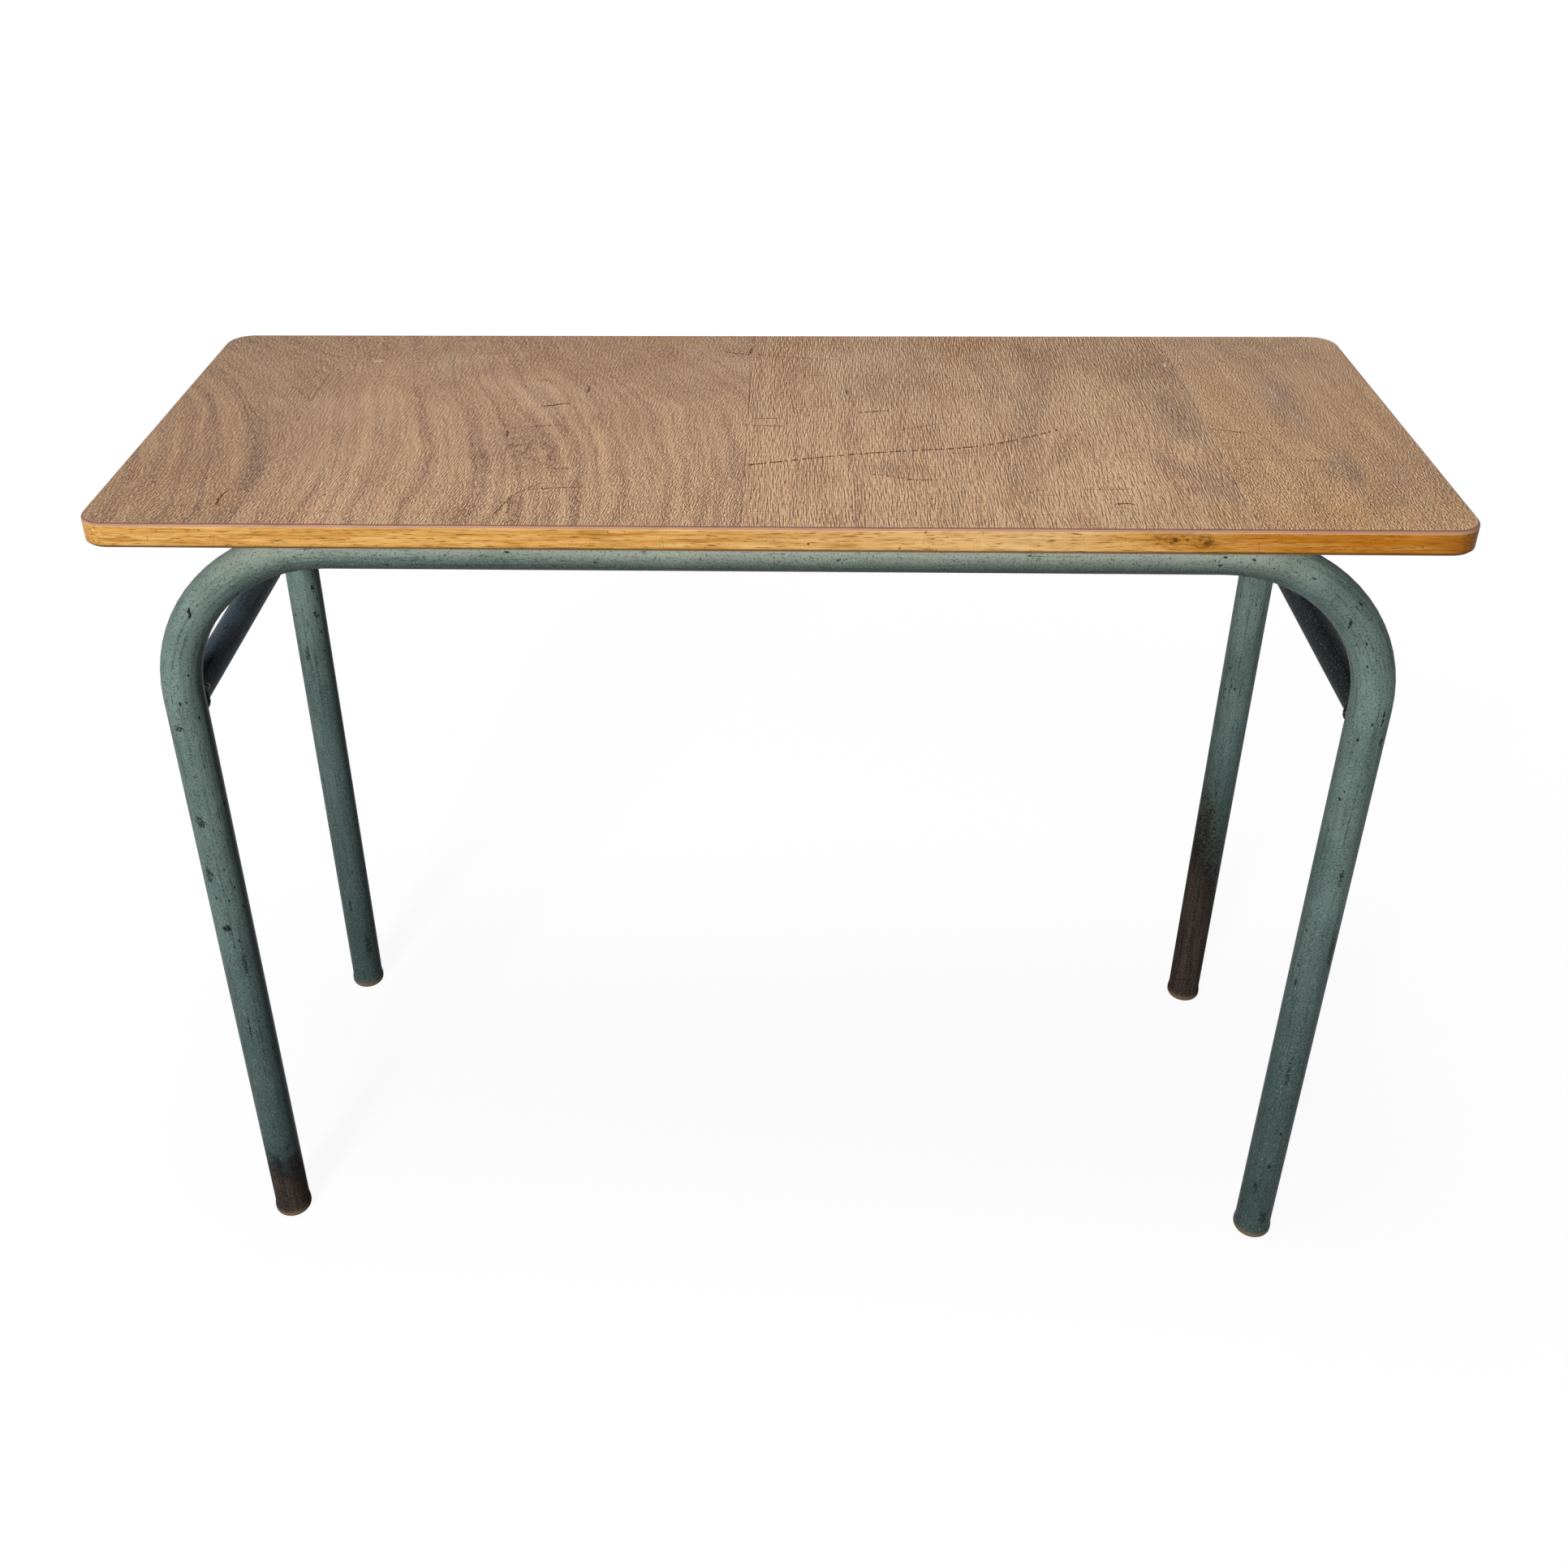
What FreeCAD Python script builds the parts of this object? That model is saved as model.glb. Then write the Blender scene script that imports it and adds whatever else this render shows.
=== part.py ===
import FreeCAD, Part
import math
import os

# School desk: a lipped and veneered top on two bent tube arches that are joined by a crossbar at each end.
# Lengths are in millimetres. +X runs along the front edge, +Y to the rear and +Z up. The origin is on the floor under the middle of the top.

# Tabletop
top_width = 1000.0
top_depth = 400.0
desk_height = 750.0
core_thickness = 18.0
face_veneer_thickness = 1.0
backing_veneer_thickness = 1.0
plan_corner_radius = 22.0
lipping_width = 28.0
upper_edge_round = 3.0
lower_edge_chamfer = 1.5

# Where the face veneer's three joints lie, as shares of the width from the left end
leaf_joint_shares = (0.114, 0.480, 0.844)

# Bent frame tubes
tube_radius = 16.0
tube_wall = 1.5
bend_radius = 130.0
leg_inset_from_end = 40.0
leg_inset_from_front = 36.0

# Crossbars between a front leg and a rear leg
crossbar_radius = 12.5
crossbar_wall = 1.5
crossbar_drop_below_bend = 10.0
weld_leg_length = 3.5

# Length of leg and bar looked at round a joint, and how near an edge must lie to count as its seam
joint_reach = 40.0
joint_tolerance = 0.05

# Glides in the leg ends
glide_lip = 0.9
glide_height = 14.0
glide_edge_round = 5.5
glide_edge_steps = 4
glide_bottom_rise = 1.2
glide_contact_radius = 8.5
glide_stem_length = 24.0
glide_stem_wall = 2.5
glide_stem_clearance = 0.15
glide_stem_taper = 1.0

# Screws that hold the top down on the tubes, as shares of the way from the middle to a bend
screw_place_shares = (-0.90, -0.30, 0.30, 0.90)
screw_radius = 2.3
screw_head_radius = 4.8
screw_head_height = 3.2
screw_head_bevel = 1.2
screw_grip_in_wood = 13.0
screw_point_length = 5.0
screw_point_radius = 0.6
screw_slot_width = 1.1
screw_slot_depth = 1.4
screw_hole_clearance = 0.25
screw_access_clearance = 1.4

# One overrun for every cutting shape, so that no cut ends flush with a face
overrun = 5.0

top_thickness = core_thickness + face_veneer_thickness + backing_veneer_thickness
underside_height = desk_height - top_thickness
tube_axis_height = underside_height - tube_radius
bend_start_height = tube_axis_height - bend_radius
leg_offset_side = top_width / 2 - leg_inset_from_end
leg_offset_front = top_depth / 2 - leg_inset_from_front
straight_half_run = leg_offset_side - bend_radius
crossbar_height = bend_start_height - crossbar_drop_below_bend
side_signs = (-1, 1)
side_names = {-1: "left", 1: "right"}
depth_names = {-1: "front", 1: "rear"}


def vector(x, y, z):
    return FreeCAD.Vector(x, y, z)


def block(x_low, x_high, y_low, y_high, z_low, z_high):
    return Part.makeBox(x_high - x_low, y_high - y_low, z_high - z_low, vector(x_low, y_low, z_low))


def prism(points, z_low, z_high):
    """Upright prism on a closed plan outline."""
    corners = [vector(x, y, z_low) for x, y in points]
    face = Part.Face(Part.makePolygon(corners + corners[:1]))
    return face.extrude(vector(0, 0, z_high - z_low))


def panel_envelope():
    """The outline that every layer of the top is cut from: rounded in plan, with a rounded upper edge and a broken lower edge."""
    half_width = top_width / 2
    half_depth = top_depth / 2
    slab = block(-half_width, half_width, -half_depth, half_depth, underside_height, desk_height)
    upright = [e for e in slab.Edges if abs(e.Vertexes[0].Z - e.Vertexes[1].Z) > top_thickness / 2]
    slab = slab.makeFillet(plan_corner_radius, upright)
    upper = [e for e in slab.Edges if e.BoundBox.ZMin > desk_height - face_veneer_thickness / 2]
    slab = slab.makeFillet(upper_edge_round, upper)
    lower = [e for e in slab.Edges if e.BoundBox.ZMax < underside_height + backing_veneer_thickness / 2]
    return slab.makeChamfer(lower_edge_chamfer, lower)


def core_panel():
    """Laminated core board inside the lippings."""
    half_width = top_width / 2 - lipping_width
    half_depth = top_depth / 2 - lipping_width
    floor = underside_height + backing_veneer_thickness
    return block(-half_width, half_width, -half_depth, half_depth, floor, floor + core_thickness)


def face_leaf(envelope, number):
    """One leaf of the face veneer. The outer leaves carry the rounded ends of the top."""
    joints = [top_width * (share - 0.5) for share in leaf_joint_shares]
    limits = [-top_width / 2 - overrun] + joints + [top_width / 2 + overrun]
    reach = top_depth / 2 + overrun
    strip = block(limits[number], limits[number + 1], -reach, reach, desk_height - face_veneer_thickness, desk_height + overrun)
    return envelope.common(strip)


def backing_leaf(envelope):
    """The single veneer sheet glued under the core and the lippings."""
    across = top_width / 2 + overrun
    reach = top_depth / 2 + overrun
    sheet = block(-across, across, -reach, reach, underside_height - overrun, underside_height + backing_veneer_thickness)
    return envelope.common(sheet)


def lipping(envelope, along_x, sign):
    """Solid wood edge strip, mitred at both ends, with half of each rounded corner."""
    outer_x = top_width / 2
    outer_y = top_depth / 2
    inner_x = outer_x - lipping_width
    inner_y = outer_y - lipping_width
    if along_x:
        outline = [(-outer_x, sign * outer_y), (outer_x, sign * outer_y), (inner_x, sign * inner_y), (-inner_x, sign * inner_y)]
    else:
        outline = [(sign * outer_x, -outer_y), (sign * outer_x, outer_y), (sign * inner_x, inner_y), (sign * inner_x, -inner_y)]
    floor = underside_height + backing_veneer_thickness
    return envelope.common(prism(outline, floor, floor + core_thickness))


def arch_path(y, foot_height):
    """Centre line of one arch: up one leg, round the bend, along under the top and down the other leg."""
    diagonal = bend_radius * math.sqrt(0.5)
    left_foot = vector(-leg_offset_side, y, foot_height)
    left_low = vector(-leg_offset_side, y, bend_start_height)
    left_mid = vector(-straight_half_run - diagonal, y, bend_start_height + diagonal)
    left_high = vector(-straight_half_run, y, tube_axis_height)
    right_high = vector(straight_half_run, y, tube_axis_height)
    right_mid = vector(straight_half_run + diagonal, y, bend_start_height + diagonal)
    right_low = vector(leg_offset_side, y, bend_start_height)
    right_foot = vector(leg_offset_side, y, foot_height)
    edges = [Part.makeLine(left_foot, left_low)]
    edges.append(Part.Arc(left_low, left_mid, left_high).toShape())
    edges.append(Part.makeLine(left_high, right_high))
    edges.append(Part.Arc(right_high, right_mid, right_low).toShape())
    edges.append(Part.makeLine(right_low, right_foot))
    return Part.Wire(edges)


def arch_solid(y, radius, foot_height):
    """A full round bar bent along the arch's centre line."""
    foot = vector(-leg_offset_side, y, foot_height)
    ring = Part.Wire(Part.makeCircle(radius, foot, vector(0, 0, 1)))
    return arch_path(y, foot_height).makePipeShell([ring], True, True)


def arch_tube(depth_sign):
    """Hollow bent tube. Each screw has a clearance hole in the upper wall and a wide hole below it that lets its head in."""
    y = depth_sign * leg_offset_front
    hollow = arch_solid(y, tube_radius - tube_wall, glide_height - overrun)
    tube = arch_solid(y, tube_radius, glide_height).cut(hollow)
    hole_length = tube_radius + overrun
    for share in screw_place_shares:
        x = straight_half_run * share
        tube = tube.cut(Part.makeCylinder(screw_radius + screw_hole_clearance, hole_length, vector(x, y, tube_axis_height)))
        below = vector(x, y, tube_axis_height - hole_length)
        tube = tube.cut(Part.makeCylinder(screw_head_radius + screw_access_clearance, hole_length, below))
    return tube


def screw(x, y):
    """Round-headed wood screw that clamps the tube's upper wall against the top. Its head's rim meets the roof of the bore."""
    seat = tube_axis_height + math.sqrt((tube_radius - tube_wall) ** 2 - screw_head_radius ** 2)
    tip = underside_height + screw_grip_in_wood
    neck = tip - screw_point_length
    shank = Part.makeCylinder(screw_radius, neck - seat, vector(x, y, seat))
    point = Part.makeCone(screw_radius, screw_point_radius, screw_point_length, vector(x, y, neck))
    head = Part.makeCylinder(screw_head_radius, screw_head_height, vector(x, y, seat - screw_head_height))
    crown = [e for e in head.Edges if e.BoundBox.ZMax < seat - screw_head_height / 2 and len(e.Vertexes) == 1]
    head = head.makeChamfer(screw_head_bevel, crown)
    half_slot = screw_slot_width / 2
    slot_top = seat - screw_head_height + screw_slot_depth
    slot = block(x - screw_head_radius - overrun, x + screw_head_radius + overrun, y - half_slot, y + half_slot, slot_top - screw_slot_depth - overrun, slot_top)
    return head.cut(slot).fuse(shank).fuse(point).removeSplitter()


def screw_row(depth_sign):
    y = depth_sign * leg_offset_front
    return [screw(straight_half_run * share, y) for share in screw_place_shares]


def crossbar_solid(side_sign, radius):
    start = vector(side_sign * leg_offset_side, -leg_offset_front, crossbar_height)
    return Part.makeCylinder(radius, leg_offset_front * 2, start, vector(0, 1, 0))


def crossbar(side_sign, arches_filled):
    """Straight tube coped at both ends to sit on the round of the legs."""
    bar = crossbar_solid(side_sign, crossbar_radius).cut(crossbar_solid(side_sign, crossbar_radius - crossbar_wall))
    for arch in arches_filled:
        bar = bar.cut(arch)
    # The short discs left inside the legs fall away, and the run between the legs is kept
    return max(bar.Solids, key=lambda solid: solid.Volume)


def on_saddle(edge, side_sign, depth_sign):
    """True for an edge that lies on the crossbar's round where it meets the leg."""
    first = edge.FirstParameter
    span = edge.LastParameter - first
    for share in (0.1, 0.3, 0.5, 0.8):
        point = edge.valueAt(first + span * share)
        away = math.hypot(point.x - side_sign * leg_offset_side, point.z - crossbar_height)
        depth = abs(point.y - depth_sign * leg_offset_front)
        if abs(away - crossbar_radius) > joint_tolerance or depth > tube_radius + joint_tolerance:
            return False
    return True


def weld_bead(side_sign, depth_sign, arch):
    """Fillet weld all round one coped joint: the joined shape is chamfered, then the leg and the bar are taken out."""
    x = side_sign * leg_offset_side
    y = depth_sign * leg_offset_front
    low = crossbar_height - joint_reach
    leg = arch.common(block(x - joint_reach, x + joint_reach, y - joint_reach, y + joint_reach, low, low + joint_reach * 2))
    bar = Part.makeCylinder(crossbar_radius, leg_offset_front, vector(x, y, crossbar_height), vector(0, -depth_sign, 0))
    joined = leg.fuse(bar).removeSplitter()
    seam = [edge for edge in joined.Edges if on_saddle(edge, side_sign, depth_sign)]
    return joined.makeChamfer(weld_leg_length, seam).cut(leg).cut(bar).Solids[0]


def glide(side_sign, depth_sign):
    """Domed foot turned in one piece with a hollow, slightly tapered stem that is pressed into the leg. Short cones make up its dome."""
    outer = tube_radius + glide_lip
    stem = tube_radius - tube_wall - glide_stem_clearance
    stem_tip = stem - glide_stem_taper
    bore = stem_tip - glide_stem_wall
    top = glide_height + glide_stem_length
    shoulder = outer - glide_edge_round
    profile = [(0, 0), (glide_contact_radius, 0)]
    for step in range(glide_edge_steps + 1):
        angle = math.pi / 2 * step / glide_edge_steps
        rise = glide_bottom_rise + glide_edge_round * (1 - math.cos(angle))
        profile.append((shoulder + glide_edge_round * math.sin(angle), rise))
    profile += [(outer, glide_height), (stem, glide_height), (stem_tip, top), (bore, top), (bore, glide_height), (0, glide_height), (0, 0)]
    outline = Part.makePolygon([vector(radius, 0, height) for radius, height in profile])
    turned = Part.Face(outline).revolve(vector(0, 0, 0), vector(0, 0, 1), 360)
    turned.translate(vector(side_sign * leg_offset_side, depth_sign * leg_offset_front, 0))
    return turned


def build():
    nodes = {}
    envelope = panel_envelope()
    screw_rows = {sign: screw_row(sign) for sign in side_signs}
    all_screws = screw_rows[-1] + screw_rows[1]

    nodes["top_core_panel"] = core_panel()
    nodes["underside_veneer"] = backing_leaf(envelope)
    for name in ("top_core_panel", "underside_veneer"):
        for one in all_screws:
            nodes[name] = nodes[name].cut(one)
    for number in range(len(leaf_joint_shares) + 1):
        nodes["face_veneer_leaf_%d" % (number + 1)] = face_leaf(envelope, number)
    for sign in side_signs:
        nodes["%s_lipping" % depth_names[sign]] = lipping(envelope, True, sign)
        nodes["%s_lipping" % side_names[sign]] = lipping(envelope, False, sign)

    arches_filled = [arch_solid(sign * leg_offset_front, tube_radius, glide_height) for sign in side_signs]
    for sign in side_signs:
        nodes["%s_arch_tube" % depth_names[sign]] = arch_tube(sign)
        nodes["%s_tube_screws" % depth_names[sign]] = Part.makeCompound(screw_rows[sign])
    for side in side_signs:
        nodes["%s_crossbar" % side_names[side]] = crossbar(side, arches_filled)
        for depth in side_signs:
            place = "%s_%s" % (depth_names[depth], side_names[side])
            nodes["%s_weld_bead" % place] = weld_bead(side, depth, arches_filled[side_signs.index(depth)])
            nodes["%s_glide" % place] = glide(side, depth)
    return nodes


def save(nodes):
    os.makedirs("parts", exist_ok=True)
    for name in sorted(nodes):
        shape = nodes[name]
        shape.exportStep("parts/%s.step" % name)
        box = shape.BoundBox
        print("%-24s %3d faces %9.1f mm3 valid %s  z %.1f to %.1f" % (name, len(shape.Faces), shape.Volume, shape.isValid(), box.ZMin, box.ZMax))


save(build())
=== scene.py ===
# %% [markdown]
# # A worn school desk
# The desk is a veneered top with amber wood lippings on two bent tubes, painted grey-green.
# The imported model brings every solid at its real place, so this lesson only adds what the eye sees:
# the finishes, the marks of use, and a few small surfaces that look better as smooth meshes.

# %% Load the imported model
import math
import bmesh
import bpy
import numpy as np
from mathutils import Matrix, Vector


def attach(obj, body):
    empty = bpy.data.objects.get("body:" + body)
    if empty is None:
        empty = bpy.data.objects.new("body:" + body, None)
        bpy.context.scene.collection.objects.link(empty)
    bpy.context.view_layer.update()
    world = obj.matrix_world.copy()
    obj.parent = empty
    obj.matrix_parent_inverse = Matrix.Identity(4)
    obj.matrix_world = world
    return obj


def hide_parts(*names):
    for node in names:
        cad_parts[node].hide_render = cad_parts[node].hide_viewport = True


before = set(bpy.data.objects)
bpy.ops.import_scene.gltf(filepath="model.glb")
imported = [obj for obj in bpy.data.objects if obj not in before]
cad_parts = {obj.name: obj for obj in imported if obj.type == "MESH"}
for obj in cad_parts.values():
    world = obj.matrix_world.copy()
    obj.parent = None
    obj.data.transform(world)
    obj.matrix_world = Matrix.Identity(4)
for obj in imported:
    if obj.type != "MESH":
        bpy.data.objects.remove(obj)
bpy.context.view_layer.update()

# %% [markdown]
# ## Colours and nodes
# A hex colour is written as a screen shows it, but a shader works with linear light, so one function
# turns one into the other. A second function adds a node, sets it and links it. It gives back the
# node's output, so that a finish reads like a sum: each line names what was made from what. Two kinds
# of node come so often that they have a short name: a smooth STEP and a straight RAMP between numbers.

# %% Two helpers
MAIN_SETTING = {
    "Math": "operation", "VectorMath": "operation", "MapRange": "interpolation_type", "Mix": "data_type",
    "Mapping": "vector_type", "TexNoise": "noise_dimensions", "TexVoronoi": "feature",
}
STEP, RAMP = "MapRange SMOOTHSTEP", "MapRange LINEAR"


def linear(code):
    """Linear colour of a screen colour such as 'A98B6A': c / 12.92 in the darks and
    ((c + 0.055) / 1.055) ^ 2.4 above."""
    parts = [int(code[i:i + 2], 16) / 255 for i in (0, 2, 4)]
    return [c / 12.92 if c <= 0.04045 else ((c + 0.055) / 1.055) ** 2.4 for c in parts] + [1.0]


def add(tree, kind, *values, out=0, stops=(), points=()):
    """Adds one shader node and gives one of its outputs. kind is its type and its main setting, such as
    'Math MULTIPLY'. values fill the sockets that are in use, in order: an output is linked, a number is
    set, a hex colour is made linear, and None leaves a socket as it is. stops are a ramp's, points a curve's."""
    kind, *setting = kind.split()
    node = tree.nodes.new("ShaderNode" + kind)
    if setting:
        setattr(node, MAIN_SETTING[kind], setting[0])
    for number, (place, code) in enumerate(stops):
        ramp = node.color_ramp.elements
        stop = ramp[number] if number < len(ramp) else ramp.new(place)
        stop.position, stop.color = place, linear(code)
    for number, place in enumerate(points):
        curve = node.mapping.curves[0].points
        point = curve[number] if number < len(curve) else curve.new(*place)
        point.location = place
    if points:
        node.mapping.update()
    sockets = [socket for socket in node.inputs if socket.enabled]
    for socket, value in zip(sockets, values):
        if isinstance(value, bpy.types.NodeSocket):
            tree.links.new(value, socket)
        elif value is not None:
            socket.default_value = linear(value) if isinstance(value, str) else value
    return [socket for socket in node.outputs if socket.enabled][out]


# %% [markdown]
# ## Starting and giving a finish
# Every finish begins with a shader and with the place of the point on the desk in millimetres. The
# pieces sit at the origin unturned, so Object coordinates times 1000 are real millimetres, and every
# pattern below can be given its true size. A finish is then given to one or more solids.

# %% Start and give a finish
MM_PER_METRE = 1000.0


def start_finish(name, specular, metallic=0.0):
    """A new material with one shader. Gives the material, its tree, the shader and the place in millimetres."""
    material = bpy.data.materials.new(name)
    material.use_nodes = True
    tree = material.node_tree
    shader = tree.nodes["Principled BSDF"]
    shader.inputs["Specular IOR Level"].default_value = specular
    shader.inputs["Metallic"].default_value = metallic
    metres = add(tree, "TexCoord", out=3)
    return material, tree, shader, add(tree, "VectorMath SCALE", metres, MM_PER_METRE)


def finish_surface(tree, shader, colour, height, depth_mm, roughness):
    """Joins a colour, a height that rises depth_mm per unit, and a roughness to the shader."""
    bump = add(tree, "Bump", 1.0, depth_mm / MM_PER_METRE, None, height)
    tree.links.new(colour, shader.inputs["Base Color"])
    tree.links.new(bump, shader.inputs["Normal"])
    tree.links.new(roughness, shader.inputs["Roughness"])


def give_finish(material, *node_names):
    """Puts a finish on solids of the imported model."""
    for node_name in node_names:
        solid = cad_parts[node_name]
        solid.data.materials.clear()
        solid.data.materials.append(material)
    print(material.name, "on", ", ".join(node_names))


# %% [markdown]
# ## The camera
# The photograph looks down on the desk from in front. The eye's place, its turn and the focal length
# are real sizes, found by fitting the desk's own outline. The picture is a square taken a little off
# the lens's middle, which a small shift gives. A lens in millimetres is 36 times focal pixels over width.

# %% Camera
PICTURE = 1932.0
FOCAL_PIXELS = 2026.4
LENS_MIDDLE = (892.4, 864.7)
EYE = (0.0140, -1.2498, 1.2562)
YAW, PITCH, ROLL = -0.0449, 0.5550, -0.0137


def camera_axes(yaw, pitch, roll):
    """Right, up and backward of a camera that looks along +Y, turned by yaw, tipped down by pitch, then rolled."""
    forward = np.array([math.sin(yaw) * math.cos(pitch), math.cos(yaw) * math.cos(pitch), -math.sin(pitch)])
    level = np.array([math.cos(yaw), -math.sin(yaw), 0.0])
    above = np.cross(level, forward)
    right = math.cos(roll) * level + math.sin(roll) * above
    up = math.cos(roll) * above - math.sin(roll) * level
    return right, up, -forward


camera_data = bpy.data.cameras.new("photo_camera")
camera_data.lens = 36.0 * FOCAL_PIXELS / PICTURE
camera_data.shift_x = (PICTURE / 2 - LENS_MIDDLE[0]) / PICTURE
camera_data.shift_y = (LENS_MIDDLE[1] - PICTURE / 2) / PICTURE
camera = bpy.data.objects.new("photo_camera", camera_data)
turned = np.eye(4)
turned[:3, 0], turned[:3, 1], turned[:3, 2] = camera_axes(YAW, PITCH, ROLL)
turned[:3, 3] = EYE
camera.matrix_world = Matrix(turned.tolist())
bpy.context.scene.collection.objects.link(camera)
bpy.context.scene.camera = camera
bpy.context.scene.view_settings.view_transform = "Standard"
print("lens %.1f mm, shift %.3f %.3f" % (camera_data.lens, camera_data.shift_x, camera_data.shift_y))

# %% [markdown]
# ## Floor and world
# A white studio: floor and world look white to the camera and in reflections, and light the desk only
# a little. The floor's own colour is a light grey, so that the desk's shadow still darkens it, and
# what it shines towards the camera makes up the rest. Far from the desk it shines fully white.

# %% Floor and world
def seen_directly(tree):
    """1 for a ray from the camera, a reflection or a look through glass, 0 for a ray that lights something."""
    mirrored = add(tree, "Math MAXIMUM", add(tree, "LightPath", out=3), add(tree, "LightPath", out=6))
    return add(tree, "Math MAXIMUM", add(tree, "LightPath", out=0), mirrored)


FLOOR_HALF_MM = 9000.0
GLOW_STARTS_MM, GLOW_FULL_MM, GLOW_NEAR = 700.0, 2600.0, 0.93
WORLD_FILL = 0.045
floor_mesh = bpy.data.meshes.new("floor")
corners = np.array([(-1, -1), (1, -1), (1, 1), (-1, 1)]) * FLOOR_HALF_MM / MM_PER_METRE
floor_mesh.from_pydata(np.column_stack([corners, np.zeros(4)]).tolist(), [], [(0, 1, 2, 3)])
floor = bpy.data.objects.new("floor", floor_mesh)
bpy.context.scene.collection.objects.link(floor)

# Matt painted board: no gloss, only the soft shadow
floor_paint, tree, shader, place = start_finish("matt_white_board", 0.0)
floor_mesh.materials.append(floor_paint)
shader.inputs["Roughness"].default_value = 1.0
shader.inputs["Base Color"].default_value = linear("555555")
shader.inputs["Emission Color"].default_value = linear("FFFFFF")
away = add(tree, "VectorMath LENGTH", place)
glow = add(tree, STEP, away, GLOW_STARTS_MM, GLOW_FULL_MM, GLOW_NEAR, 1.0)
tree.links.new(add(tree, "Math MULTIPLY", glow, seen_directly(tree)), shader.inputs["Emission Strength"])

# The world: white where it is seen, a faint cool fill where it lights
world = bpy.data.worlds.new("white_studio")
world.use_nodes = True
bpy.context.scene.world = world
tree = world.node_tree
seen = seen_directly(tree)
back = tree.nodes["Background"]
tree.links.new(add(tree, "Mix RGBA", seen, "C8D8EA", "FFFFFF"), back.inputs["Color"])
tree.links.new(add(tree, RAMP, seen, 0.0, 1.0, WORLD_FILL, 1.0), back.inputs["Strength"])

# %% [markdown]
# ## Lamps
# A soft main lamp stands far off, in front and to the left, so that round tubes turn dark towards their
# right, which is how the photograph shows them. A second lamp hangs above and a faint one stands behind.
# Together they give the top about the light at which a colour renders as it is written.

# %% Lamps
def soft_lamp(name, place, aim, size, watts):
    """A square area lamp of size metres at place, turned to shine at aim."""
    data = bpy.data.lights.new(name, "AREA")
    data.size, data.energy = size, watts
    lamp = bpy.data.objects.new(name, data)
    lamp.location = place
    lamp.rotation_euler = (Vector(aim) - Vector(place)).to_track_quat("-Z", "Y").to_euler()
    bpy.context.scene.collection.objects.link(lamp)


soft_lamp("main_lamp", (-1.5, -4.1, 2.3), (0, 0, 0.45), 1.0, 200)
soft_lamp("overhead_lamp", (-0.2, -0.1, 3.0), (0, 0, 0.75), 1.0, 37)
soft_lamp("rear_lamp", (0.0, 3.2, 0.5), (0, 0, 0.45), 0.6, 18)

# %% [markdown]
# ## Sums that repeat
# A mottle is a noise on a stretched place, so its spots have a real size. A value is shaken where a noise
# pushes it up and down: a noise mostly stays between 0.2 and 0.8. A colour is tinted where a value runs
# from one number to another. Small round spots, such as pits, sit in some cells of a random pattern.

# %% Mottle, shake, tint and spots
NOISE_RANGE = (0.2, 0.8)


def mottle(tree, kind, place, size, detail, roughness=0.5, middle=None, turn=None):
    """Mottle in 2D or 3D: a noise with spots of about size millimetres along X, Y and Z."""
    spots = add(tree, "Mapping TEXTURE", place, middle, turn, size)
    return add(tree, "TexNoise " + kind, spots, 1.0, detail, roughness)


def shaken(tree, value, pattern, reach):
    """value, pushed up and down by at most about reach."""
    return add(tree, "Math ADD", value, add(tree, RAMP, pattern, *NOISE_RANGE, -reach, reach))


def tint(tree, colour, code, value, start, full, amount):
    """colour, turned towards code by amount where value runs from start to full."""
    return add(tree, "Mix RGBA", add(tree, STEP, value, start, full, 0.0, amount), colour, code)


def scattered(tree, place, cell, outer, inner, few, many):
    """Mask of a round spot in some cells of a size in millimetres. A spot fades in from outer to inner, which
    are shares of the cell, and a cell has one if its random value is over few, in full if over many."""
    spot = add(tree, STEP, add(tree, "TexVoronoi F1", place, 1 / cell), outer, inner)
    chance = add(tree, "TexVoronoi F1", place, 1 / cell, out=1)
    return add(tree, "Math MULTIPLY", spot, add(tree, RAMP, chance, few, many))


# %% [markdown]
# ## Marks on a surface
# Two kinds of mark come again and again. A patch is a soft ellipse of real size: the place is moved,
# turned and scaled so that the ellipse becomes a ball of radius one, and the distance from its middle
# gives the mask. A scored line never doubles back, so a curve can give, for each place along it, how far
# to the side it runs, and the distance from that curve gives the mask.

# %% Patch and scored line
LINE_SHAKE_MM, LINE_FADE_MM, LINE_CORE_SHARE, CURVE_MARGIN_MM = 1.2, 3.0, 0.4, 1.0


def patch(tree, place, centre, radii, turn=0.0, inner=0.2, uneven=None):
    """Mask of a soft ellipsoid, 1 in its middle and 0 outside its radii in millimetres. turn is in degrees,
    and uneven is a noise that pushes the outline in and out."""
    spot = add(tree, "Mapping TEXTURE", place, centre, (0, 0, math.radians(turn)), radii)
    away = add(tree, "VectorMath LENGTH", spot)
    if uneven:
        away = shaken(tree, away, uneven, 0.40)
    return add(tree, STEP, away, inner, 1.0, 1.0, 0.0)


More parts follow.
